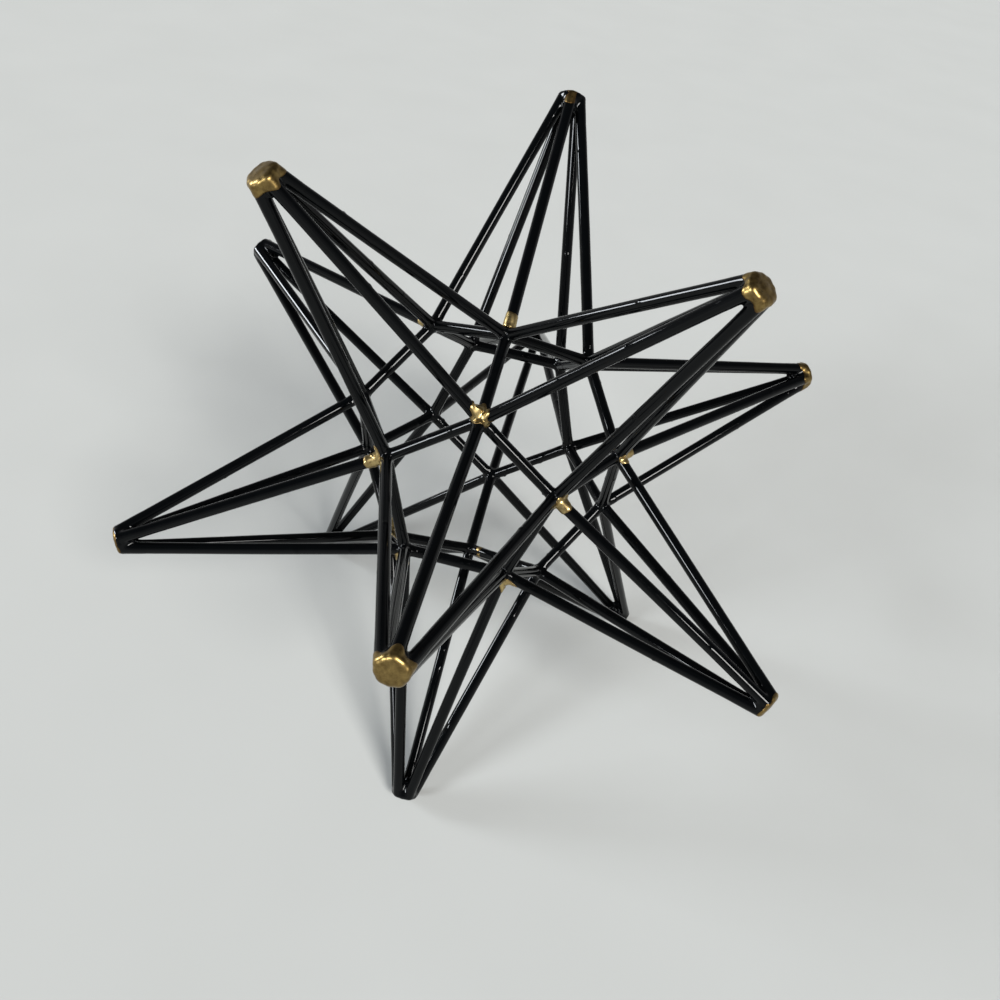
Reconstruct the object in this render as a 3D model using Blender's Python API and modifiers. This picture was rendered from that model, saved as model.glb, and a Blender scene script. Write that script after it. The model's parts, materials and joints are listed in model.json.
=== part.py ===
"""Geometric star sculpture: twelve five-rod spikes welded on a dodecahedral core of straight rods."""
import math
from itertools import combinations

import bmesh
import bpy
from mathutils import Matrix, Vector

MM = 0.001

# Driving sizes
ROD_DIAMETER = 3.0 * MM
CORE_RADIUS = 37.2 * MM      # star's centre to the middle of a core joint
TIP_RADIUS = 100.0 * MM      # star's centre to the end of a spike's cap
JOINT_CLEARANCE = 0.14 * MM  # added to where neighbouring rods of a joint would just touch
CAP_DIAMETER = 8.4 * MM      # cap over a spike's five rod ends, across its lobes
CAP_HEIGHT = 1.5 * MM
CAP_LOBE_DEPTH = 0.59 * MM   # how far the cap draws in between two rods
RING_BITE = 0.18 * MM        # how far the rod ends of a spike lie inside the ring where they only touch
REST_CUT = 0.35 * MM         # depth of the flat on each cap the star stands on
GAP = 0.3 * MM               # left between neighbouring pieces
MERGE = 0.02 * MM            # corners closer than this are one

# Proportions
CAP_BLUNTNESS = 0.55         # below 1 squares the dome's shoulder
ROD_SIDES = 14
CAP_SEGMENTS = 20
BEAD_STEPS = 8

ROD_RADIUS = ROD_DIAMETER / 2
RODS_PER_SPIKE = 5
RING_RADIUS = ROD_RADIUS / math.sin(math.pi / RODS_PER_SPIKE) - RING_BITE
END_HEIGHT = TIP_RADIUS - CAP_HEIGHT - GAP           # plane of the ground rod ends

# The twelve spikes stand in four level rings of three
NEIGHBOUR_COSINE = 1 / math.sqrt(5)
TOP_POLAR = math.acos(math.sqrt((1 + 2 * NEIGHBOUR_COSINE) / 3))
UPPER_POLAR = math.acos(NEIGHBOUR_COSINE / math.sqrt(3 * (1 + 2 * NEIGHBOUR_COSINE)))
FRONT, BACK = math.radians(270), math.radians(90)
THIRD = math.radians(120)
RINGS = (
    ("top", TOP_POLAR, BACK, ("back", "left", "right")),
    ("upper", UPPER_POLAR, FRONT, ("front", "right", "left")),
    ("lower", math.pi - UPPER_POLAR, BACK, ("back", "left", "right")),
    ("foot", math.pi - TOP_POLAR, FRONT, ("front", "right", "left")),
)
GILDED = ("top_back", "top_left", "top_right", "upper_front", "upper_right", "lower_right", "lower_left")
POLES = ("top_back", "foot_front")

for old in list(bpy.data.objects):
    bpy.data.objects.remove(old, do_unlink=True)


def collection(name):
    made = bpy.data.collections.new(name)
    bpy.context.scene.collection.children.link(made)
    return made


PARTS = collection("geometric_star_sculpture")
HELPERS = collection("helpers")


def material(name, colour, roughness, metallic):
    made = bpy.data.materials.new(name)
    made.use_nodes = True
    shader = made.node_tree.nodes["Principled BSDF"]
    shader.inputs["Base Color"].default_value = (*colour, 1.0)
    shader.inputs["Roughness"].default_value = roughness
    shader.inputs["Metallic"].default_value = metallic
    return made


SPIKE_ENAMEL = material("spike_black_enamel", (0.006, 0.006, 0.007), 0.12, 0.0)
CORE_ENAMEL = material("core_black_enamel", (0.007, 0.007, 0.008), 0.14, 0.0)
CAP_ENAMEL = material("cap_black_enamel", (0.008, 0.008, 0.009), 0.16, 0.0)
CAP_BRASS = material("cap_brass", (0.46, 0.31, 0.11), 0.32, 1.0)


def add_part(name, mesh, matrix, look):
    """One named piece, at its place, with its own finish."""
    mesh.shade_smooth()
    mesh.set_sharp_from_angle(angle=math.radians(35))
    piece = bpy.data.objects.new(name, mesh)
    if not mesh.materials:
        mesh.materials.append(look)
    piece.material_slots[0].link = "OBJECT"
    piece.material_slots[0].material = look
    piece.matrix_world = matrix
    PARTS.objects.link(piece)
    return piece


def to_mesh(name, bm):
    bmesh.ops.recalc_face_normals(bm, faces=bm.faces[:])
    mesh = bpy.data.meshes.new(name)
    bm.to_mesh(mesh)
    bm.free()
    return mesh


def axes(origin, along, toward):
    """Placement with local Z along a direction and local X toward another."""
    z = along.normalized()
    x = (toward - z * toward.dot(z)).normalized()
    y = z.cross(x)
    turn = Matrix((x, y, z)).transposed().to_4x4()
    return Matrix.Translation(origin) @ turn


def cut_away(bm, point, outward, faces=None):
    """Cuts away what lies beyond a plane, on the whole form or on some faces, and gives the cut's rim."""
    faces = bm.faces[:] if faces is None else faces
    edges = list({edge for face in faces for edge in face.edges})
    verts = list({vert for face in faces for vert in face.verts})
    cut = bmesh.ops.bisect_plane(bm, geom=verts + edges + faces, dist=MERGE, plane_co=point, plane_no=outward,
                                 use_snap_center=True, clear_outer=True)
    return [part for part in cut["geom_cut"] if isinstance(part, bmesh.types.BMEdge)]


def cut_flat(bm, point, outward, faces=None):
    """As cut_away, with the cut closed by a flat face."""
    rim = cut_away(bm, point, outward, faces)
    bmesh.ops.triangle_fill(bm, edges=rim, use_beauty=True)


def add_rod(bm, start, end, toward):
    """A straight rod between two points, with a corner of its section toward a direction."""
    run = end - start
    place = axes((start + end) / 2, run, toward)
    bmesh.ops.create_cone(bm, cap_ends=True, segments=ROD_SIDES, radius1=ROD_RADIUS, radius2=ROD_RADIUS,
                          depth=run.length, matrix=place)


def helper(name, mesh):
    made = bpy.data.objects.new(name, mesh)
    made.hide_render = True
    made.display_type = "WIRE"
    HELPERS.objects.link(made)
    return made


# The twelve spike directions, and the joints where three neighbouring spikes meet
TIPS = {}
for ring, polar, start, sides in RINGS:
    for turn, side in enumerate(sides):
        azimuth = start + turn * THIRD
        TIPS[ring + "_" + side] = Vector((math.sin(polar) * math.cos(azimuth),
                                          math.sin(polar) * math.sin(azimuth), math.cos(polar)))


def neighbours(a, b):
    return abs(TIPS[a].dot(TIPS[b]) - NEIGHBOUR_COSINE) < 1e-4


JOINTS = {}
for trio in combinations(TIPS, 3):
    if all(neighbours(a, b) for a, b in combinations(trio, 2)):
        JOINTS[trio] = sum((TIPS[name] for name in trio), Vector()).normalized() * CORE_RADIUS


def joints_shared(*names):
    return [point for trio, point in JOINTS.items() if all(name in trio for name in names)]


FIRST_TIP = next(iter(TIPS))
JOINT_COSINE = joints_shared(FIRST_TIP)[0].normalized().dot(TIPS[FIRST_TIP])
FOOT_RADIUS = CORE_RADIUS * math.sqrt(1 - JOINT_COSINE ** 2)     # joints around a spike's axis
FOOT_HEIGHT = CORE_RADIUS * JOINT_COSINE


def spike_direction(name, joint):
    """Unit run of the rod that goes from a joint to a spike's ring of rod ends."""
    tip = TIPS[name]
    outward = (joint - tip * joint.dot(tip)).normalized()
    return (tip * END_HEIGHT + outward * RING_RADIUS - joint).normalized()


def core_run(pair, joint):
    """Unit run of the core rod between two spikes, away from a joint."""
    far = max(joints_shared(*pair), key=lambda point: (point - joint).length)
    return (far - joint).normalized()


def joint_runs(trio):
    """Unit runs of the six rods that meet in a joint, by the names of the spikes they belong to."""
    joint = JOINTS[trio]
    runs = {(name,): spike_direction(name, joint) for name in trio}
    runs.update({pair: core_run(pair, joint) for pair in combinations(trio, 2)})
    return runs


# The bead is just large enough for six rods to butt on it side by side
FIRST_RUNS = joint_runs(next(iter(JOINTS))).values()
NARROWEST = min(a.angle(b) for a, b in combinations(FIRST_RUNS, 2))
BEAD_FLAT = ROD_RADIUS / math.tan(NARROWEST / 2) + JOINT_CLEARANCE
BEAD_RADIUS = math.hypot(BEAD_FLAT, ROD_RADIUS)
ROD_START = BEAD_FLAT + GAP                          # joint's middle to a butted rod's end


# Spike: five rods that lean together, mitred and fused where they touch and ground level at the end
def spike_mesh():
    spike = bmesh.new()
    half_turn = math.pi / RODS_PER_SPIKE
    for turn in range(RODS_PER_SPIKE):
        angle = turn * 2 * half_turn
        outward = Vector((math.cos(angle), math.sin(angle), 0.0))
        joint = outward * FOOT_RADIUS + Vector((0.0, 0.0, FOOT_HEIGHT))
        ring = outward * RING_RADIUS + Vector((0.0, 0.0, END_HEIGHT))
        run = (ring - joint).normalized()
        rod = bmesh.new()
        add_rod(rod, joint + run * ROD_START, ring + run * ROD_DIAMETER, outward)
        for side in (-1, 1):
            seam = angle + side * half_turn
            cut_away(rod, Vector(), Vector((-math.sin(seam), math.cos(seam), 0.0)) * side)
        mesh = to_mesh("spike_rod", rod)
        spike.from_mesh(mesh)
        bpy.data.meshes.remove(mesh)
    bmesh.ops.remove_doubles(spike, verts=spike.verts[:], dist=MERGE)
    cut_flat(spike, Vector((0.0, 0.0, END_HEIGHT)), Vector((0.0, 0.0, 1.0)))
    return to_mesh("spike", spike)


# Cap: a blunt dome drawn in between the five rods, flat underneath
def cap_form():
    bm = bmesh.new()
    bmesh.ops.create_uvsphere(bm, u_segments=CAP_SEGMENTS, v_segments=10, radius=1.0)
    rim = cut_away(bm, Vector(), Vector((0.0, 0.0, -1.0)))
    for vert in bm.verts:
        out = math.hypot(vert.co.x, vert.co.y)
        angle = math.atan2(vert.co.y, vert.co.x)
        drawn_in = CAP_LOBE_DEPTH * (1 - math.cos(RODS_PER_SPIKE * angle)) / 2
        reach = (CAP_DIAMETER / 2 - drawn_in) * out ** CAP_BLUNTNESS
        rise = CAP_HEIGHT * max(vert.co.z, 0.0)
        vert.co = (reach * math.cos(angle), reach * math.sin(angle), rise + END_HEIGHT + GAP)
    bmesh.ops.triangle_fill(bm, edges=rim, use_beauty=True)
    return bm


# Core rod, and the core rod that carries the weld bead of the joint at each of its ends
EDGE_TIPS = [pair for pair in combinations(TIPS, 2) if neighbours(*pair)]
EDGE_LENGTH = (joints_shared(*EDGE_TIPS[0])[1] - joints_shared(*EDGE_TIPS[0])[0]).length


def plain_core_rod():
    half = Vector((0.0, 0.0, EDGE_LENGTH / 2 - ROD_START))
    bm = bmesh.new()
    add_rod(bm, -half, half, Vector((1.0, 0.0, 0.0)))
    return to_mesh("core_rod", bm)


def bead_profile():
    """Outer line of the beaded rod, from the top of one bead down to the bottom of the other."""
    neck = math.pi - math.asin(ROD_RADIUS / BEAD_RADIUS)
    arc = []
    for step in range(BEAD_STEPS + 1):
        angle = neck * step / BEAD_STEPS
        arc.append((BEAD_RADIUS * math.sin(angle), EDGE_LENGTH / 2 + BEAD_RADIUS * math.cos(angle)))
    return arc + [(out, -up) for out, up in reversed(arc)]


def turned_rod():
    """The rod and its two beads, turned about the rod's axis."""
    profile = bmesh.new()
    points = [profile.verts.new((out, 0.0, up)) for out, up in bead_profile()]
    for upper, lower in zip(points, points[1:]):
        profile.edges.new((upper, lower))
    line = bpy.data.meshes.new("bead_line")
    profile.to_mesh(line)
    profile.free()
    turned = helper("bead_line", line)
    screw = turned.modifiers.new("turn", "SCREW")
    screw.steps = ROD_SIDES
    screw.render_steps = ROD_SIDES
    screw.use_merge_vertices = True
    screw.merge_threshold = 1e-6
    graph = bpy.context.evaluated_depsgraph_get()
    mesh = bpy.data.meshes.new_from_object(turned.evaluated_get(graph))
    bpy.data.objects.remove(turned, do_unlink=True)
    bm = bmesh.new()
    bm.from_mesh(mesh)
    bpy.data.meshes.remove(mesh)
    return bm


def beaded_core_rod(pair, place):
    """The turned rod with a flat on each bead for every rod that butts against it."""
    into_local = place.inverted()
    bm = turned_rod()
    for trio, joint in JOINTS.items():
        if not set(pair) <= set(trio):
            continue
        middle = into_local @ joint
        for rod, run in joint_runs(trio).items():
            if rod == pair:
                continue
            outward = (into_local.to_3x3() @ run).normalized()
            near = [face for face in bm.faces
                    if all((vert.co - middle).length < BEAD_RADIUS + GAP for vert in face.verts)
                    and any((vert.co - middle).dot(outward) > BEAD_FLAT - GAP for vert in face.verts)]
            cut_flat(bm, middle + outward * BEAD_FLAT, outward, near)
    return to_mesh("beaded_core_rod", bm)


def edge_place(pair):
    first, second = joints_shared(*pair)
    middle = (first + second) / 2
    return axes(middle, second - first, middle)


def is_beaded(pair):
    """One rod in three carries beads: those that leave the ring around either pole."""
    return any(all(name != pole and neighbours(name, pole) for name in pair) for pole in POLES)


def tip_place(name):
    return axes(Vector(), TIPS[name], joints_shared(name)[0])


# Height of the star's centre, so that the cut flats lie on the ground
CAP_BM = cap_form()
FOOT_NAMES = [name for name in TIPS if name.startswith("foot_")]
REACH_DOWN = max(-(tip_place(name) @ vert.co).z for name in FOOT_NAMES for vert in CAP_BM.verts)
LIFT = Matrix.Translation((0.0, 0.0, REACH_DOWN - REST_CUT))

SPIKE = spike_mesh()
PLAIN = plain_core_rod()
for name in TIPS:
    add_part("spike_" + name, SPIKE, LIFT @ tip_place(name), SPIKE_ENAMEL)
    form = CAP_BM.copy()
    if name in FOOT_NAMES:
        into_local = (LIFT @ tip_place(name)).inverted()
        down = (into_local.to_3x3() @ Vector((0.0, 0.0, -1.0))).normalized()
        cut_flat(form, into_local @ Vector(), down)
    look = CAP_BRASS if name in GILDED else CAP_ENAMEL
    add_part("tip_cap_" + name, to_mesh("cap_" + name, form), LIFT @ tip_place(name), look)
CAP_BM.free()

for pair in EDGE_TIPS:
    place = edge_place(pair)
    label = "%s_to_%s" % pair
    if is_beaded(pair):
        add_part("beaded_core_rod_" + label, beaded_core_rod(pair, place), LIFT @ place, CORE_ENAMEL)
    else:
        add_part("core_rod_" + label, PLAIN, LIFT @ place, CORE_ENAMEL)
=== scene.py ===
"""Looks of the geometric star sculpture: gloss black rods and welds, brass on tips and joints."""
import json
import math
import random
from itertools import combinations

import bmesh
import bpy
import numpy as np
from mathutils import Matrix, Vector

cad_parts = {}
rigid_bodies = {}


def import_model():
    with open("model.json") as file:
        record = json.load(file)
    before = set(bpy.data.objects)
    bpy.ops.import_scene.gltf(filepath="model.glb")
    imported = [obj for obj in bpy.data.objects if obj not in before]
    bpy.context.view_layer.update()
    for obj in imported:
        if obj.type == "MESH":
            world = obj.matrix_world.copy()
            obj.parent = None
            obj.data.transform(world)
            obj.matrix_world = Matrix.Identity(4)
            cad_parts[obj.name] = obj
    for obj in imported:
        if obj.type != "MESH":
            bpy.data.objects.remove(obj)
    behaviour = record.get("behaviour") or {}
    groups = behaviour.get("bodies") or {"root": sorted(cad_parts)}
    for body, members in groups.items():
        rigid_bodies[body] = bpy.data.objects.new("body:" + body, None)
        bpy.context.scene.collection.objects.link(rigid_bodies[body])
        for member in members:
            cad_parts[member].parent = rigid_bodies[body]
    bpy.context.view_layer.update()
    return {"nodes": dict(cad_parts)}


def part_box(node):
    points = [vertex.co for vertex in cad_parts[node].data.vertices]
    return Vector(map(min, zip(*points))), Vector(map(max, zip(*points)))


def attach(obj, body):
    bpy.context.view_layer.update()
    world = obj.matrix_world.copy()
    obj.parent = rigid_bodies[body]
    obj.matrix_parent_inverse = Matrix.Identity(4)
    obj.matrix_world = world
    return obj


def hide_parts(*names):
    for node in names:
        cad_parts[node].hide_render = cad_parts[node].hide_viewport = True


for old in list(bpy.data.objects):
    bpy.data.objects.remove(old, do_unlink=True)

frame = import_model()
NODES = frame["nodes"]
MM = 0.001

# Rods
TUBE_SIDES = 24
RING_STEP = 2.0 * MM         # between the rings of a rod's mesh
ROD_WAVE = 0.012 * MM        # slow unevenness of the paint
ROD_WAVE_SIZE = 9.0 * MM
ROD_BOW = 0.15 * MM          # most that a rod's middle lies off the straight line
PIMPLES_PER_ROD = 2
PIMPLE_RADIUS = (0.22 * MM, 0.45 * MM)
PIMPLE_HEIGHT = (0.05 * MM, 0.18 * MM)
PIMPLE_PLACE = (0.15, 0.85)  # where a pimple may sit, in shares of the rod's length
PIMPLE_RINGS = 4             # rings of mesh added on each side of it
PIMPLE_RING_STEP = 0.6       # between these rings, in pimple radii

# Smooth noise in the shapes
SEED_RANGE = 1 << 30
WAVE_COUNT = 9
WAVE_SPREAD = (1.0, 2.2)     # wave lengths, as shares of the size asked for

# Blended forms
VOXEL = 0.3 * MM             # mesh size of welds and tips
ROUGH_SEGMENTS = 16          # of the balls and cones that are remeshed
SETTLE_ROUNDS = 2
SMOOTH_ROUNDS = 3
LEAST_STEEPNESS = 0.1        # keeps a step short where the slopes of two strands cancel
LEAST_WEIGHT = 1e-30
LEAST_SQUARE = 1e-12
LEAST_DISTANCE = 1e-9
LARGEST_EXPONENT = 60

# Welds
WELD_REACH = 6.0 * MM        # how far a weld runs up its rods
WELD_SKIN = 0.03 * MM        # how far a weld stands proud of its rods
WELD_SINK = 0.06 * MM        # how far its end dives into them
WELD_BLEND = 0.22 * MM       # softness of its crotches
WELD_WAVE = 0.02 * MM
WELD_WAVE_SIZE = 2.6 * MM
WELD_LUMPS = 11
GILT_WELD_LUMPS = 3          # on a joint with brass, where the solder has drowned most of them
SOLDER_RADIUS = 1.0 * MM     # of the web in a crotch with brass
SOLDER_REACH = 1.0 * MM      # how far it runs beyond the middle of the brass
LUMP_RADIUS = (0.3 * MM, 0.6 * MM)
LUMP_PLACE = (1.6 * MM, 4.2 * MM)
LUMP_SINK = 0.45             # of a lump into its rod, in lump radii

# Spike tips
TIP_REACH = 9.0 * MM         # how far the tip's mesh runs down the rods
TUBE_STOP = 2.5 * MM         # how far below the end the rods' own mesh stops, inside the tip's
TIP_TAPER = 6.0 * MM         # stretch over which the paint thickens toward the end
TIP_SKIN = 0.08 * MM         # paint and weld on the rod ends
TIP_BLEND = 0.3 * MM
TIP_WAVE = 0.01 * MM
TIP_SHOULDER = 0.5 * MM      # rounding of the tip's end face
SHOULDER_SPREAD = (0.8, 1.3)  # how that differs from tip to tip
ROD_END_SINK = (1.0, 1.08)   # of a round rod end's middle below the tip's end, in its radius
END_TOLERANCE = 0.1 * MM     # within which a corner of the frame counts as on the ground rod ends
TIP_FILL = 3.0 * MM          # weld between the five rod ends
TIP_FILL_SINK = 2.6 * MM     # of its middle below the end
TIP_FILL_LENGTH = 3.5 * MM
TIP_FILL_TAPER = 0.25        # radius at its lower end, as a share
GROOVE_RADIUS = 1.3 * MM     # weld that fills the groove between two rod ends
GROOVE_LENGTH = 3.0 * MM
GROOVE_TAPER = 0.3           # radius at its lower end, as a share
GROOVE_SINK = 1.1            # of its upper middle below the tip's end, in its radius
FOOT_SHARPNESS = 0.04 * MM   # rounding where a foot stands flat

# Brass
TIP_GILT = 0.1 * MM          # thickness above the enamel on a tip
JOINT_GILT = 0.2 * MM        # and on a joint, where it is a lump of solder
GILT_LUMPS = 0.15            # how uneven that thickness is
GILT_LUMP_SIZE = 1.8 * MM
GILT_FEATHER = 0.4 * MM      # width over which its edge thins out
GILT_RIM = 0.2               # thickness left at that edge, as a share
GILT_DEPTH = 0.35 * MM       # of the shell below its face
GILT_EDGE_WAVE = 0.3 * MM
GILT_EDGE_SIZE = 2.2 * MM
GILT_SCALLOP = 0.12          # how much further it runs down on a rod, as a share of its depth
SPLIT_MARGIN = 0.05          # least share of a mesh edge that its outline cuts off

# Patterns in the enamel and the brass
ENAMEL_SPECULAR = 0.17       # low, so that the reflected floor leaves the rods black
ENAMEL_TONE_SIZE = 3 * MM
ENAMEL_GLOSS_SIZE = 2.2 * MM
PEEL_SIZE = 4 * MM
PEEL_HEIGHT = 0.03 * MM
PEEL_STRENGTH = 0.10
SPECK_SIZE = 0.6 * MM
SPECK_LEVELS = (0.82, 0.90)  # peaks of the noise that rise as specks
SPECK_HEIGHT = 0.03 * MM
SPECK_STRENGTH = 0.15
BRASS_TONE_SIZE = 1.5 * MM
BRASS_GLOSS_SIZE = 0.7 * MM
BRASS_LUMP_SIZE = 1.2 * MM
BRASS_LUMP_HEIGHT = 0.04 * MM
BRASS_LUMP_STRENGTH = 0.3

# Floor and room
FLOOR_SIZE = 30.0
FLOOR_PATCH = 60 * MM
FLOOR_TONES = ((0.51, 0.52, 0.505), (0.54, 0.55, 0.535))
FLOOR_ROUGHNESS = 0.9
EYE_LEVEL_TONE = (0.42, 0.425, 0.43)
OVERHEAD_TONE = (0.08, 0.08, 0.085)
OVERHEAD_RISE = (0.2, 0.6)   # heights in the sky between which one turns into the other

# Lamps: azimuth from the back toward the right, elevation and width in degrees, radiance, colour
LAMPS = (
    ("key", 144, 38, 20, 36.0, (1.0, 0.985, 0.96)),
    ("window", -87, 14, 16, 40.0, (0.90, 0.95, 1.0)),
    ("far_window", -138, 21, 16, 38.0, (0.92, 0.96, 1.0)),
)

# Camera, as the photograph was taken
CAMERA_AZIMUTH = math.radians(-4.64)
CAMERA_ELEVATION = math.radians(39.93)
CAMERA_ROLL = math.radians(10.81)
CAMERA_FROM_CENTRE = (23.465 * MM, -213.692 * MM, 163.579 * MM)
CAMERA_LENS = 35.13
SENSOR = 36.0

# The twelve spikes stand in four level rings of three
RODS_PER_SPIKE = 5
NEIGHBOUR_COSINE = 1 / math.sqrt(5)
COSINE_TOLERANCE = 1e-4
TOP_POLAR = math.acos(math.sqrt((1 + 2 * NEIGHBOUR_COSINE) / 3))
UPPER_POLAR = math.acos(NEIGHBOUR_COSINE / math.sqrt(3 * (1 + 2 * NEIGHBOUR_COSINE)))
FRONT, BACK = math.radians(270), math.radians(90)
THIRD = math.radians(120)
RINGS = (
    ("top", TOP_POLAR, BACK, ("back", "left", "right")),
    ("upper", UPPER_POLAR, FRONT, ("front", "right", "left")),
    ("lower", math.pi - UPPER_POLAR, BACK, ("back", "left", "right")),
    ("foot", math.pi - TOP_POLAR, FRONT, ("front", "right", "left")),
)

# Brass on a tip: how far it comes down from the end, how ragged its edge is, and the joint whose rod
# alone carries it, or None for all five rods
GILT_TIPS = {
    "top_left": (3.2 * MM, 0.8, None),
    "top_right": (2.8 * MM, 1.2, None),
    "upper_front": (3.1 * MM, 1.2, None),
    "upper_right": (3.4 * MM, 1.0, None),
    "top_back": (4.0 * MM, 0.5, ("top_back", "top_left", "top_right")),
    "lower_right": (1.3 * MM, 2.0, None),
    "lower_left": (0.9 * MM, 1.0, None),
}

# Brass on a joint, by its three spikes: the rods that it leans to, how far out it lies, and its size.
# A rod is named by the spike or the two spikes it belongs to, and () stands for straight out.
BRASS_DABS = {
    ("top_left", "top_right", "upper_front"): (
        (((),), 1.2 * MM, 2.5 * MM),
        ((("top_left",), ("top_left", "top_right"), ()), 3.2 * MM, 2.8 * MM),
        ((("top_right",),), 2.9 * MM, 1.6 * MM),
    ),
    ("top_back", "top_left", "top_right"): (
        ((("top_back",),), 3.6 * MM, 2.8 * MM),
    ),
    ("top_left", "upper_front", "lower_left"): (
        ((("lower_left",),), 3.2 * MM, 2.8 * MM),
        ((("lower_left",), ("top_left",)), 2.8 * MM, 2.0 * MM),
    ),
    ("top_right", "upper_front", "lower_right"): (
        ((("lower_right",),), 2.4 * MM, 2.6 * MM),
        ((("lower_right",), ("top_right", "lower_right")), 2.4 * MM, 2.0 * MM),
    ),
    ("top_right", "upper_right", "lower_right"): (
        (((),), 1.6 * MM, 2.4 * MM),
        ((("upper_right",),), 2.6 * MM, 2.4 * MM),
    ),
    ("upper_front", "lower_left", "foot_front"): (
        ((("foot_front",), ()), 3.4 * MM, 2.4 * MM),
    ),
    ("upper_front", "lower_right", "foot_front"): (
        ((("lower_right",), ("foot_front",)), 3.0 * MM, 2.7 * MM),
    ),
    ("lower_left", "foot_front", "foot_left"): (
        ((("lower_left", "foot_left"),), 2.2 * MM, 3.0 * MM),
    ),
    ("foot_front", "foot_right", "foot_left"): (
        ((("foot_front", "foot_right"),), 4.4 * MM, 1.7 * MM),
    ),
    ("top_back", "top_right", "upper_right"): (
        ((("top_right",), ("upper_right",)), 3.4 * MM, 2.1 * MM),
    ),
    ("top_back", "top_left", "upper_left"): (
        ((("upper_left",),), 3.0 * MM, 1.8 * MM),
    ),
}


def unit(vector):
    return vector / np.linalg.norm(vector)


def corners(node):
    """Corner points of a node of the frame."""
    return np.array([vert.co for vert in NODES[node].data.vertices], float)


def box_middle(node):
    low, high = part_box(node)
    return np.array((low + high) / 2)


# Directions, joints and sizes of the star, read from the frame
TIPS = {}
for ring, polar, start, sides in RINGS:
    for turn, side in enumerate(sides):
        azimuth = start + turn * THIRD
        TIPS[ring + "_" + side] = np.array((math.sin(polar) * math.cos(azimuth),
                                            math.sin(polar) * math.sin(azimuth), math.cos(polar)))


def neighbours(a, b):
    return abs(TIPS[a] @ TIPS[b] - NEIGHBOUR_COSINE) < COSINE_TOLERANCE


EDGES = [pair for pair in combinations(TIPS, 2) if neighbours(*pair)]
TRIOS = [trio for trio in combinations(TIPS, 3)
         if all(neighbours(*pair) for pair in combinations(trio, 2))]


def joint_way(trio):
    return unit(sum(TIPS[name] for name in trio))


def core_node(pair):
    label = "core_rod_%s_to_%s" % pair
    return label if label in NODES else "beaded_" + label


CENTRE = (box_middle("spike_top_back") + box_middle("spike_foot_front")) / 2
PLAIN_PAIR = next(pair for pair in EDGES if not core_node(pair).startswith("beaded_"))
PLAIN_MIDDLE = box_middle(core_node(PLAIN_PAIR)) - CENTRE
PLAIN_TRIO = next(trio for trio in TRIOS if set(PLAIN_PAIR) <= set(trio))
CORE_RADIUS = np.linalg.norm(PLAIN_MIDDLE) / (unit(PLAIN_MIDDLE) @ joint_way(PLAIN_TRIO))
JOINTS = {trio: CENTRE + CORE_RADIUS * joint_way(trio) for trio in TRIOS}


def core_ends(pair):
    return [JOINTS[trio] for trio in TRIOS if set(pair) <= set(trio)]


PLAIN_WAY = unit(core_ends(PLAIN_PAIR)[1] - core_ends(PLAIN_PAIR)[0])
PLAIN_CORNERS = corners(core_node(PLAIN_PAIR)) - CENTRE - PLAIN_MIDDLE
ROD_RADIUS = np.linalg.norm(np.cross(PLAIN_CORNERS, PLAIN_WAY), axis=1).max()

FIRST_TIP = TIPS["top_back"]
SPIKE_CORNERS = corners("spike_top_back") - CENTRE
END_HEIGHT = (SPIKE_CORNERS @ FIRST_TIP).max()
END_CORNERS = SPIKE_CORNERS[SPIKE_CORNERS @ FIRST_TIP > END_HEIGHT - END_TOLERANCE]
RING_RADIUS = np.linalg.norm(np.cross(END_CORNERS, FIRST_TIP), axis=1).max() - ROD_RADIUS
TIP_RADIUS = ((corners("tip_cap_top_back") - CENTRE) @ FIRST_TIP).max()


def sideways(name, joint):
    """Unit way from a spike's axis toward a joint."""
    away = joint - CENTRE
    return unit(away - TIPS[name] * (away @ TIPS[name]))


def on_axis(name, height):
    return CENTRE + TIPS[name] * height


def spike_end(name, joint):
    """Middle of a spike rod's ground end, for the rod that stands on a joint."""
    return on_axis(name, END_HEIGHT) + sideways(name, joint) * RING_RADIUS


def joint_runs(trio):
    """Unit runs of the six rods that meet in a joint, by the spikes that they belong to."""
    joint = JOINTS[trio]
    runs = {(name,): unit(spike_end(name, joint) - joint) for name in trio}
    for pair in combinations(trio, 2):
        far = max(core_ends(pair), key=lambda point: np.linalg.norm(point - joint))
        runs[pair] = unit(far - joint)
    return runs


# Materials
def node(tree, kind, **values):
    made = tree.nodes.new(kind)
    for name, value in values.items():
        setattr(made, name, value)
    return made


def noise(tree, size, detail, roughness=0.5):
    """Noise in the object's own space, with features of a given size in metres."""
    place = node(tree, "ShaderNodeTexCoord")
    made = node(tree, "ShaderNodeTexNoise")
    made.inputs["Scale"].default_value = 1 / size
    made.inputs["Detail"].default_value = detail
    made.inputs["Roughness"].default_value = roughness
    tree.links.new(place.outputs["Object"], made.inputs["Vector"])
    return made.outputs["Fac"]


def spread(tree, source, low, high, start=0.3, end=0.7):
    """A value that follows a pattern between two ends."""
    made = node(tree, "ShaderNodeMapRange")
    made.inputs["From Min"].default_value = start
    made.inputs["From Max"].default_value = end
    made.inputs["To Min"].default_value = low
    made.inputs["To Max"].default_value = high
    tree.links.new(source, made.inputs["Value"])
    return made.outputs["Result"]


def blend_colours(tree, factor, low, high):
    """Colour between two colours or sockets."""
    made = node(tree, "ShaderNodeMix", data_type="RGBA")
    tree.links.new(factor, made.inputs["Factor"])
    for socket, colour in (("A", low), ("B", high)):
        target = next(item for item in made.inputs if item.name == socket and item.type == "RGBA")
        if isinstance(colour, tuple):
            target.default_value = (*colour, 1.0)
        else:
            tree.links.new(colour, target)
    return next(item for item in made.outputs if item.type == "RGBA")


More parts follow.
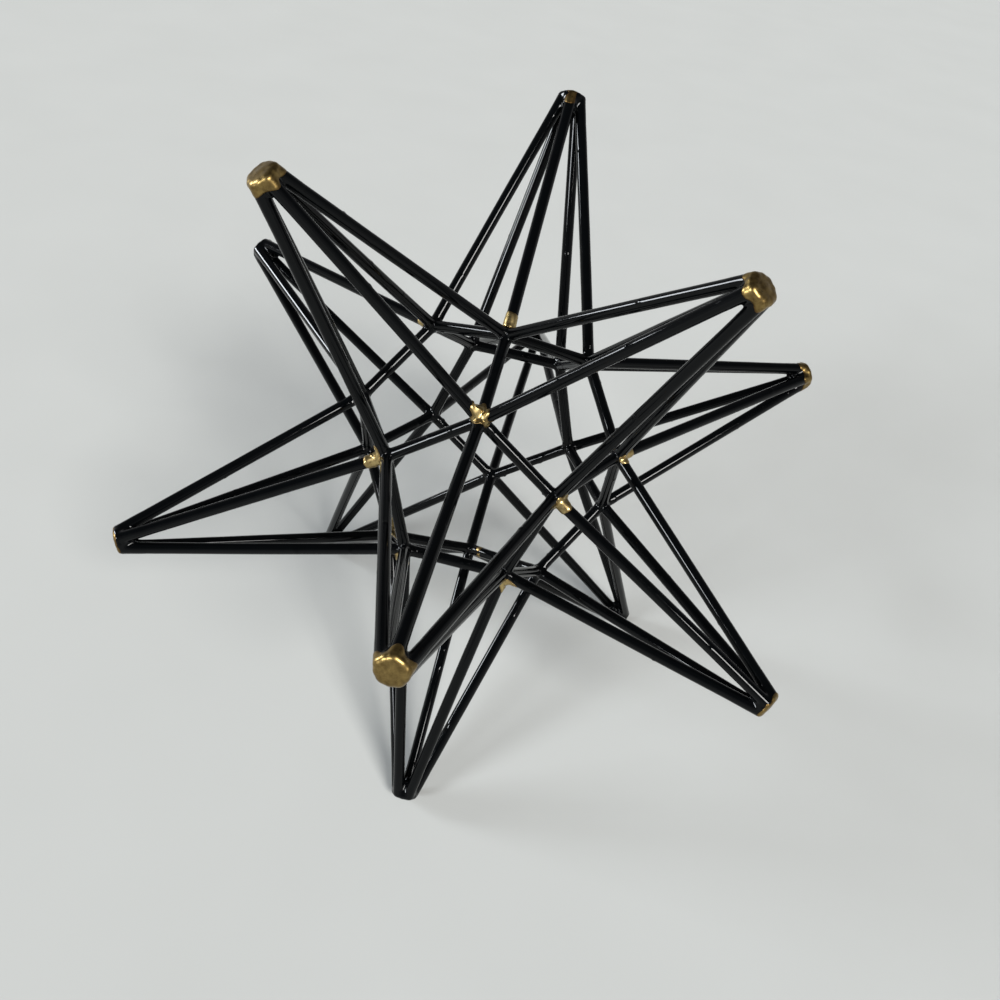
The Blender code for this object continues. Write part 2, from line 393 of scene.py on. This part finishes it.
def bump(tree, height, distance, strength, under=None):
    made = node(tree, "ShaderNodeBump")
    made.inputs["Strength"].default_value = strength
    made.inputs["Distance"].default_value = distance
    tree.links.new(height, made.inputs["Height"])
    if under is not None:
        tree.links.new(under, made.inputs["Normal"])
    return made.outputs["Normal"]


def shader_of(name):
    made = bpy.data.materials.new(name)
    made.use_nodes = True
    return made, made.node_tree, made.node_tree.nodes["Principled BSDF"]


def enamel(name, dark, light, smooth, dull):
    """Dipped gloss enamel: near black, with orange peel and slow changes of gloss."""
    made, tree, shader = shader_of(name)
    shader.inputs["Specular IOR Level"].default_value = ENAMEL_SPECULAR
    tone = blend_colours(tree, noise(tree, ENAMEL_TONE_SIZE, detail=3.0), dark, light)
    tree.links.new(tone, shader.inputs["Base Color"])
    gloss = spread(tree, noise(tree, ENAMEL_GLOSS_SIZE, detail=3.0), smooth, dull)
    tree.links.new(gloss, shader.inputs["Roughness"])
    peel = bump(tree, noise(tree, PEEL_SIZE, detail=1.0), PEEL_HEIGHT, PEEL_STRENGTH)
    peaks = spread(tree, noise(tree, SPECK_SIZE, detail=0.0), 0.0, 1.0, *SPECK_LEVELS)
    specks = bump(tree, peaks, SPECK_HEIGHT, SPECK_STRENGTH, peel)
    tree.links.new(specks, shader.inputs["Normal"])
    return made


def brass(name, dark, light, edge, smooth, dull):
    """Rubbed brass: yellow and browner patches at random, browner rims, uneven gloss."""
    made, tree, shader = shader_of(name)
    shader.inputs["Metallic"].default_value = 1.0
    patches = spread(tree, noise(tree, BRASS_TONE_SIZE, detail=4.0, roughness=0.6), 0.0, 1.0)
    tone = blend_colours(tree, patches, dark, light)
    rim = node(tree, "ShaderNodeAttribute", attribute_name="gilt_rim")
    shade = blend_colours(tree, rim.outputs["Fac"], tone, edge)
    tree.links.new(shade, shader.inputs["Base Color"])
    gloss = spread(tree, noise(tree, BRASS_GLOSS_SIZE, detail=4.0), smooth, dull)
    tree.links.new(gloss, shader.inputs["Roughness"])
    lumps = bump(tree, noise(tree, BRASS_LUMP_SIZE, detail=2.0), BRASS_LUMP_HEIGHT, BRASS_LUMP_STRENGTH)
    tree.links.new(lumps, shader.inputs["Normal"])
    return made


SPIKE_ENAMEL = enamel("spike_enamel", (0.0005, 0.0007, 0.0009), (0.0013, 0.0017, 0.0020), 0.035, 0.09)
CORE_ENAMEL = enamel("core_enamel", (0.0005, 0.0007, 0.0009), (0.0016, 0.0020, 0.0023), 0.04, 0.10)
CAP_ENAMEL = enamel("cap_enamel", (0.0006, 0.0008, 0.0010), (0.0018, 0.0022, 0.0026), 0.045, 0.11)
TIP_BRASS = brass("tip_brass", (0.13, 0.085, 0.030), (0.30, 0.21, 0.076), (0.10, 0.055, 0.018),
                  0.27, 0.41)
JOINT_BRASS = brass("joint_brass", (0.28, 0.20, 0.085), (0.52, 0.40, 0.18), (0.20, 0.13, 0.05),
                    0.24, 0.40)


# Pieces
def add_piece(name, mesh, look):
    mesh.shade_smooth()
    mesh.materials.clear()
    mesh.materials.append(look)
    piece = bpy.data.objects.new(name, mesh)
    bpy.context.scene.collection.objects.link(piece)
    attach(piece, "root")
    return piece


def waves(points, size, seed):
    """Smooth noise between about -1 and 1: a few plane waves in seeded directions."""
    draw = np.random.default_rng(seed)
    total = np.zeros(len(points))
    for _ in range(WAVE_COUNT):
        way = unit(draw.normal(size=3))
        pace = 2 * math.pi / (size * draw.uniform(*WAVE_SPREAD))
        total += np.sin(points @ way * pace + draw.uniform(0, 2 * math.pi))
    return total / math.sqrt(WAVE_COUNT)


def seed_of(name):
    return random.Random(name).randrange(SEED_RANGE)


def add_tube(verts, faces, start, end, seed):
    """A dipped rod: nearly straight, slightly uneven, with a few paint pimples."""
    draw = np.random.default_rng(seed)
    length = np.linalg.norm(end - start)
    along = (end - start) / length
    side = unit(np.cross(along, draw.normal(size=3)))
    other = np.cross(along, side)
    pimples = [(draw.uniform(*PIMPLE_PLACE) * length, draw.uniform(0, 2 * math.pi),
                draw.uniform(*PIMPLE_RADIUS), draw.uniform(*PIMPLE_HEIGHT))
               for _ in range(PIMPLES_PER_ROD)]
    stations = list(np.linspace(0, length, int(length / RING_STEP) + 1))
    for place, _, size, _ in pimples:
        steps = range(-PIMPLE_RINGS, PIMPLE_RINGS + 1)
        stations += [place + step * size * PIMPLE_RING_STEP for step in steps]
    stations = np.array(sorted(stations))
    angles = np.arange(TUBE_SIDES) * 2 * math.pi / TUBE_SIDES
    outward = np.outer(np.cos(angles), side) + np.outer(np.sin(angles), other)
    bow = outward[0] * ROD_BOW * draw.uniform(0, 1)
    middles = start + np.outer(stations, along) + np.outer(np.sin(math.pi * stations / length), bow)
    skin = (middles[:, None] + outward * ROD_RADIUS).reshape(-1, 3)
    radius = ROD_RADIUS + ROD_WAVE * waves(skin, ROD_WAVE_SIZE, seed).reshape(len(stations), TUBE_SIDES)
    for place, angle, size, height in pimples:
        turn = (angles - angle + math.pi) % (2 * math.pi) - math.pi
        away = (stations[:, None] - place) ** 2 + (turn * ROD_RADIUS) ** 2
        radius += height * np.exp(-away / (2 * size ** 2))
    first = len(verts)
    verts.extend((middles[:, None] + outward * radius[:, :, None]).reshape(-1, 3))
    for ring in range(len(stations) - 1):
        base = first + ring * TUBE_SIDES
        above = base + TUBE_SIDES
        for turn in range(TUBE_SIDES):
            beside = (turn + 1) % TUBE_SIDES
            faces.append((base + turn, base + beside, above + beside, above + turn))
    last = first + (len(stations) - 1) * TUBE_SIDES
    faces.append(tuple(range(first + TUBE_SIDES - 1, first - 1, -1)))
    faces.append(tuple(range(last, last + TUBE_SIDES)))


def tube_mesh(name, ends):
    """Mesh of one or more rods, each between two points."""
    verts, faces = [], []
    for index, (start, end) in enumerate(ends):
        add_tube(verts, faces, start, end, seed_of("%s %d" % (name, index)))
    mesh = bpy.data.meshes.new(name)
    mesh.from_pydata([tuple(point) for point in verts], [], faces)
    return mesh


# Welded forms: a rough union is remeshed, then drawn onto a smooth blend of its members
class Blend:
    """Smooth union of round strands, with waves, cut by rounded planes."""

    def __init__(self, softness, wave, seed):
        self.softness = softness
        self.wave = wave
        self.seed = seed
        self.strands = []
        self.planes = []

    def strand(self, *stops):
        """A round strand through points, each with its radius."""
        self.strands.append([(np.array(point), radius) for point, radius in stops])

    def plane(self, point, outward, rounding):
        self.planes.append((np.array(point), np.array(outward), rounding))

    def measure(self, points):
        """Distance of points from the surface, and its slope."""
        total = np.full(len(points), LEAST_WEIGHT)
        lean = np.zeros((len(points), 3))
        for stops in self.strands:
            nearest = np.full(len(points), np.inf)
            outward = np.zeros((len(points), 3))
            for (start, start_radius), (end, end_radius) in zip(stops, stops[1:]):
                run = end - start
                share = np.clip((points - start) @ run / max(run @ run, LEAST_SQUARE), 0, 1)
                offset = points - start - share[:, None] * run
                away = np.linalg.norm(offset, axis=1) + LEAST_DISTANCE
                beyond = away - start_radius - (end_radius - start_radius) * share
                closer = beyond < nearest
                nearest[closer] = beyond[closer]
                outward[closer] = offset[closer] / away[closer, None]
            weight = np.exp(np.minimum(-nearest / self.softness, LARGEST_EXPONENT))
            total += weight
            lean += outward * weight[:, None]
        slope = lean / total[:, None]
        found = -self.softness * np.log(total) - self.wave * waves(points, WELD_WAVE_SIZE, self.seed)
        for point, outward, rounding in self.planes:
            beyond = (points - point) @ outward
            exponent = np.clip((found - beyond) / rounding, -LARGEST_EXPONENT, LARGEST_EXPONENT)
            share = 1 / (1 + np.exp(exponent))
            found = rounding * np.logaddexp(found / rounding, beyond / rounding)
            slope = slope * (1 - share)[:, None] + np.outer(share, outward)
        return found, slope

    def settle(self, points):
        """Points moved onto the surface, along its slope."""
        for _ in range(SETTLE_ROUNDS):
            found, slope = self.measure(points)
            steep = np.maximum((slope ** 2).sum(axis=1), LEAST_STEEPNESS)
            points = points - np.clip(found / steep, -VOXEL, VOXEL)[:, None] * slope
        return points

    def rough(self, name):
        """Remeshed union of plain cones and balls."""
        bm = bmesh.new()
        for stops in self.strands:
            for point, radius in stops:
                bmesh.ops.create_uvsphere(bm, u_segments=ROUGH_SEGMENTS, v_segments=ROUGH_SEGMENTS // 2,
                                          radius=radius, matrix=Matrix.Translation(point))
            for (start, start_radius), (end, end_radius) in zip(stops, stops[1:]):
                run = Vector(end - start)
                turn = run.to_track_quat("Z", "Y").to_matrix().to_4x4()
                middle = Matrix.Translation((start + end) / 2)
                bmesh.ops.create_cone(bm, cap_ends=True, segments=ROUGH_SEGMENTS, radius1=start_radius,
                                      radius2=end_radius, depth=run.length, matrix=middle @ turn)
        mesh = bpy.data.meshes.new(name)
        bm.to_mesh(mesh)
        bm.free()
        holder = bpy.data.objects.new(name + "_rough", mesh)
        bpy.context.scene.collection.objects.link(holder)
        remesh = holder.modifiers.new("remesh", "REMESH")
        remesh.mode = "VOXEL"
        remesh.voxel_size = VOXEL
        graph = bpy.context.evaluated_depsgraph_get()
        made = bpy.data.meshes.new_from_object(holder.evaluated_get(graph))
        bpy.data.objects.remove(holder, do_unlink=True)
        bpy.data.meshes.remove(mesh)
        made.name = name
        return made

    def mesh(self, name, rough, turn):
        """The rough mesh of a like form, turned into place and drawn onto this form."""
        made = rough.copy()
        made.name = name
        made.transform(turn)
        points = np.zeros(len(made.vertices) * 3)
        made.vertices.foreach_get("co", points)
        ends = np.zeros(len(made.edges) * 2, int)
        made.edges.foreach_get("vertices", ends)
        points = self.settle(points.reshape(-1, 3))
        for _ in range(SMOOTH_ROUNDS):
            points = self.settle(smoothed(points, ends.reshape(-1, 2)))
        made.vertices.foreach_set("co", self.settle(points).ravel())
        made.update()
        return made


def smoothed(points, ends):
    """Points moved halfway to the mean of their neighbours."""
    total = np.zeros_like(points)
    count = np.zeros(len(points))
    for here, there in ((0, 1), (1, 0)):
        np.add.at(total, ends[:, here], points[ends[:, there]])
        np.add.at(count, ends[:, here], 1)
    return (points + total / count[:, None]) / 2


def gilt_shell(name, mesh, field, thickness):
    """Thin raised shell over the part of a mesh where a field is above zero, with a feathered edge."""
    bm = bmesh.new()
    bm.from_mesh(mesh)
    bmesh.ops.triangulate(bm, faces=bm.faces[:])
    bm.normal_update()
    level = bm.verts.layers.float.new("level")
    values = field(np.array([vert.co for vert in bm.verts]))
    for vert, value in zip(bm.verts, values):
        vert[level] = value
    for edge in bm.edges[:]:
        low, high = edge.verts
        if (low[level] > 0) != (high[level] > 0):
            share = low[level] / (low[level] - high[level])
            share = min(max(share, SPLIT_MARGIN), 1 - SPLIT_MARGIN)
            _, made = bmesh.utils.edge_split(edge, low, share)
            made[level] = 0.0
    for face in bm.faces[:]:
        edge_verts = [vert for vert in face.verts if vert[level] == 0.0]
        if len(edge_verts) == 2 and len(face.verts) > 3:
            bmesh.utils.face_split(face, *edge_verts)
    outside = [face for face in bm.faces if min(vert[level] for vert in face.verts) < 0]
    bmesh.ops.delete(bm, geom=outside, context="FACES")
    bm.normal_update()
    rim = bm.verts.layers.float.new("gilt_rim")
    lumps = waves(np.array([vert.co for vert in bm.verts]), GILT_LUMP_SIZE, seed_of(name))
    for vert, lump in zip(bm.verts, lumps):
        inside = min(max(vert[level] / GILT_FEATHER, 0.0), 1.0)
        smooth = inside * inside * (3 - 2 * inside)
        vert[rim] = 1 - smooth
        height = GILT_RIM + (1 - GILT_RIM) * smooth * (1 + GILT_LUMPS * lump)
        vert.co += vert.normal * thickness * height
    under = bmesh.ops.duplicate(bm, geom=bm.faces[:])
    lower = [part for part in under["geom"] if isinstance(part, bmesh.types.BMVert)]
    lower_faces = [part for part in under["geom"] if isinstance(part, bmesh.types.BMFace)]
    pairs = under["vert_map"]
    for vert in lower:
        vert.co -= vert.normal * GILT_DEPTH
    bmesh.ops.reverse_faces(bm, faces=lower_faces)
    lower_set = set(lower)
    for edge in [edge for edge in bm.edges if edge.is_boundary and edge.verts[0] not in lower_set]:
        a, b = edge.link_loops[0].vert, edge.link_loops[0].link_loop_next.vert
        bm.faces.new((b, a, pairs[a], pairs[b]))
    bm.verts.layers.float.remove(bm.verts.layers.float["level"])
    made = bpy.data.meshes.new(name)
    bm.to_mesh(made)
    bm.free()
    return made


def turn_about_centre(old_ways, new_ways):
    """Turn of the whole star that carries three directions to three others."""
    turn = np.array(new_ways).T @ np.linalg.inv(np.array(old_ways).T)
    return Matrix.Translation(CENTRE) @ Matrix(turn).to_4x4() @ Matrix.Translation(-CENTRE)


# Spikes: five rods each, and the welded tip that closes them
def spike_feet(name):
    return [JOINTS[trio] for trio in TRIOS if name in trio]


def tip_form(name):
    form = Blend(TIP_BLEND, TIP_WAVE, seed_of("tip " + name))
    draw = random.Random("tip " + name)
    thick = ROD_RADIUS + TIP_SKIN
    ways = [sideways(name, joint) for joint in spike_feet(name)]
    for joint, way in zip(spike_feet(name), ways):
        end = spike_end(name, joint)
        down = unit(joint - end)
        top = on_axis(name, TIP_RADIUS - thick * draw.uniform(*ROD_END_SINK)) + way * RING_RADIUS
        form.strand((end + down * TIP_REACH, ROD_RADIUS - WELD_SINK),
                    (end + down * TIP_TAPER, ROD_RADIUS + WELD_SKIN),
                    (end, thick), (top, thick))
    for first, second in combinations(ways, 2):
        if first @ second > 0:
            groove = unit(first + second) * RING_RADIUS
            form.strand((on_axis(name, END_HEIGHT - GROOVE_LENGTH) + groove, GROOVE_TAPER * GROOVE_RADIUS),
                        (on_axis(name, TIP_RADIUS - GROOVE_SINK * GROOVE_RADIUS) + groove, GROOVE_RADIUS))
    form.strand((on_axis(name, END_HEIGHT - TIP_FILL_LENGTH), TIP_FILL_TAPER * TIP_FILL),
                (on_axis(name, TIP_RADIUS - TIP_FILL_SINK), TIP_FILL))
    rounding = TIP_SHOULDER * draw.uniform(*SHOULDER_SPREAD)
    form.plane(on_axis(name, TIP_RADIUS), TIPS[name], rounding)
    if name.startswith("foot_"):
        form.plane((0.0, 0.0, 0.0), (0.0, 0.0, -1.0), FOOT_SHARPNESS)
    return form


def tip_ways(name):
    way = sideways(name, spike_feet(name)[0])
    return TIPS[name], way, np.cross(TIPS[name], way)


def gilt_tip_field(name):
    depth, ragged, trio = GILT_TIPS[name]
    seed = seed_of("gilt " + name)

    def field(points):
        from_centre = points - CENTRE
        inside = from_centre @ TIPS[name] - (TIP_RADIUS - depth)
        _, way, other = tip_ways(name)
        around = np.arctan2(from_centre @ other, from_centre @ way)
        inside += GILT_SCALLOP * depth * np.cos(RODS_PER_SPIKE * around)
        if trio:
            end = spike_end(name, JOINTS[trio])
            along = unit(end - JOINTS[trio])
            off_rod = np.linalg.norm(np.cross(points - end, along), axis=1)
            inside = np.minimum(inside, ROD_RADIUS + 2 * TIP_SKIN - off_rod)
        return inside + GILT_EDGE_WAVE * ragged * waves(points, GILT_EDGE_SIZE, seed)

    return field


FIRST_NAME = next(iter(TIPS))
ROUGH_TIP = tip_form(FIRST_NAME).rough("rough_tip")
for name in TIPS:
    ends = []
    for joint in spike_feet(name):
        end = spike_end(name, joint)
        ends.append((joint, end + unit(joint - end) * TUBE_STOP))
    rods = add_piece("spike_rods_" + name, tube_mesh("spike_rods_" + name, ends), SPIKE_ENAMEL)
    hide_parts("spike_" + name)
    turn = turn_about_centre(tip_ways(FIRST_NAME), tip_ways(name))
    mesh = tip_form(name).mesh("tip_weld_" + name, ROUGH_TIP, turn)
    if name in GILT_TIPS:
        shell = gilt_shell("gilt_tip_" + name, mesh, gilt_tip_field(name), TIP_GILT)
        gilt = add_piece("gilt_tip_" + name, shell, TIP_BRASS)
        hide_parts("tip_cap_" + name)
        add_piece("tip_weld_" + name, mesh, SPIKE_ENAMEL)
    else:
        tip_piece = add_piece("tip_weld_" + name, mesh, CAP_ENAMEL)
        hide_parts("tip_cap_" + name)


# Core: thirty rods and the weld in each of the twenty joints
for pair in EDGES:
    label = "enamelled_rod_%s_to_%s" % pair
    rod = add_piece(label, tube_mesh(label, [core_ends(pair)]), CORE_ENAMEL)
    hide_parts(core_node(pair))


def dab_way(trio, rods):
    """Way from a joint between the rods that brass leans to, where () stands for straight out."""
    runs = {frozenset(key): run for key, run in joint_runs(trio).items()}
    runs[frozenset()] = joint_way(trio)
    return unit(sum(runs[frozenset(key)] for key in rods))


def joint_form(trio, dabs):
    joint = JOINTS[trio]
    name = "joint %s %s %s" % trio
    form = Blend(WELD_BLEND, WELD_WAVE, seed_of(name))
    draw = np.random.default_rng(seed_of(name))
    runs = list(joint_runs(trio).values())
    thick = ROD_RADIUS + WELD_SKIN
    for run in runs:
        form.strand((joint, thick), (joint + run * WELD_REACH / 2, thick),
                    (joint + run * WELD_REACH, ROD_RADIUS - WELD_SINK))
    for rods, along, _ in dabs:
        if len(rods) > 1:
            end = joint + dab_way(trio, rods) * (along + SOLDER_REACH)
            form.strand((joint, thick), (end, SOLDER_RADIUS))
    for _ in range(GILT_WELD_LUMPS if dabs else WELD_LUMPS):
        run = runs[draw.integers(len(runs))]
        outward = unit(np.cross(run, draw.normal(size=3)))
        radius = draw.uniform(*LUMP_RADIUS)
        place = joint + run * draw.uniform(*LUMP_PLACE) + outward * (thick - LUMP_SINK * radius)
        form.strand((place, radius), (place + outward * VOXEL, radius / 2))
    return form


def joint_gilt_field(trio, dabs):
    seed = seed_of("joint gilt %s %s %s" % trio)
    balls = [(JOINTS[trio] + dab_way(trio, rods) * along, size) for rods, along, size in dabs]

    def field(points):
        depths = [size - np.linalg.norm(points - middle, axis=1) for middle, size in balls]
        return np.max(depths, axis=0) + GILT_EDGE_WAVE * waves(points, GILT_EDGE_SIZE, seed)

    return field


def joint_ways(trio):
    """The three spike directions of a joint, in right-handed order."""
    ways = [TIPS[name] for name in trio]
    return ways if np.linalg.det(ways) > 0 else ways[::-1]


ROUGH_JOINT = joint_form(TRIOS[0], ()).rough("rough_joint")
for trio in TRIOS:
    label = "%s_%s_%s" % trio
    turn = turn_about_centre(joint_ways(TRIOS[0]), joint_ways(trio))
    dabs = BRASS_DABS.get(trio, ())
    mesh = joint_form(trio, dabs).mesh("joint_weld_" + label, ROUGH_JOINT, turn)
    if dabs:
        shell = gilt_shell("gilt_joint_" + label, mesh, joint_gilt_field(trio, dabs), JOINT_GILT)
        add_piece("gilt_joint_" + label, shell, JOINT_BRASS)
    add_piece("joint_weld_" + label, mesh, CORE_ENAMEL)


# Floor, light and camera
def floor():
    bpy.ops.mesh.primitive_plane_add(size=FLOOR_SIZE)
    made = bpy.context.object
    made.name = "table_top"
    look, tree, shader = shader_of("table_top")
    tone = blend_colours(tree, noise(tree, FLOOR_PATCH, detail=2.0), *FLOOR_TONES)
    tree.links.new(tone, shader.inputs["Base Color"])
    shader.inputs["Roughness"].default_value = FLOOR_ROUGHNESS
    shader.inputs["Specular IOR Level"].default_value = 0.0
    made.data.materials.append(look)


def direction(azimuth, elevation):
    """Unit way, by its angle from the back toward the right and its rise."""
    return Vector((math.sin(azimuth) * math.cos(elevation), math.cos(azimuth) * math.cos(elevation),
                   math.sin(elevation)))


def lamp(name, azimuth, elevation, wide, radiance, colour):
    """Far round lamp, so that all of the floor is lit alike."""
    way = direction(math.radians(azimuth), math.radians(elevation))
    data = bpy.data.lights.new(name, "SUN")
    data.angle = math.radians(wide)
    data.energy = radiance * math.pi * math.sin(data.angle / 2) ** 2
    data.color = colour
    made = bpy.data.objects.new(name, data)
    made.location = Vector(CENTRE) + way
    made.rotation_euler = way.to_track_quat("Z", "Y").to_euler()
    bpy.context.scene.collection.objects.link(made)


def camera():
    data = bpy.data.cameras.new("camera")
    data.sensor_width = SENSOR
    data.lens = CAMERA_LENS
    made = bpy.data.objects.new("camera", data)
    forward = direction(CAMERA_AZIMUTH, -CAMERA_ELEVATION)
    level = forward.to_track_quat("-Z", "Y").to_matrix().to_4x4()
    place = Matrix.Translation(Vector(CENTRE) + Vector(CAMERA_FROM_CENTRE))
    made.matrix_world = place @ level @ Matrix.Rotation(CAMERA_ROLL, 4, "Z")
    bpy.context.scene.collection.objects.link(made)
    bpy.context.scene.camera = made


def studio():
    """Dim room: pale walls at the height of the eye, darker overhead."""
    world = bpy.data.worlds.new("studio")
    world.use_nodes = True
    tree = world.node_tree
    place = node(tree, "ShaderNodeTexCoord")
    split = node(tree, "ShaderNodeSeparateXYZ")
    tree.links.new(place.outputs["Generated"], split.inputs["Vector"])
    overhead = spread(tree, split.outputs["Z"], 0.0, 1.0, *OVERHEAD_RISE)
    tone = blend_colours(tree, overhead, EYE_LEVEL_TONE, OVERHEAD_TONE)
    tree.links.new(tone, tree.nodes["Background"].inputs["Color"])
    bpy.context.scene.world = world


floor()
for row in LAMPS:
    lamp(*row)
camera()
studio()
bpy.context.scene.view_settings.view_transform = "Standard"
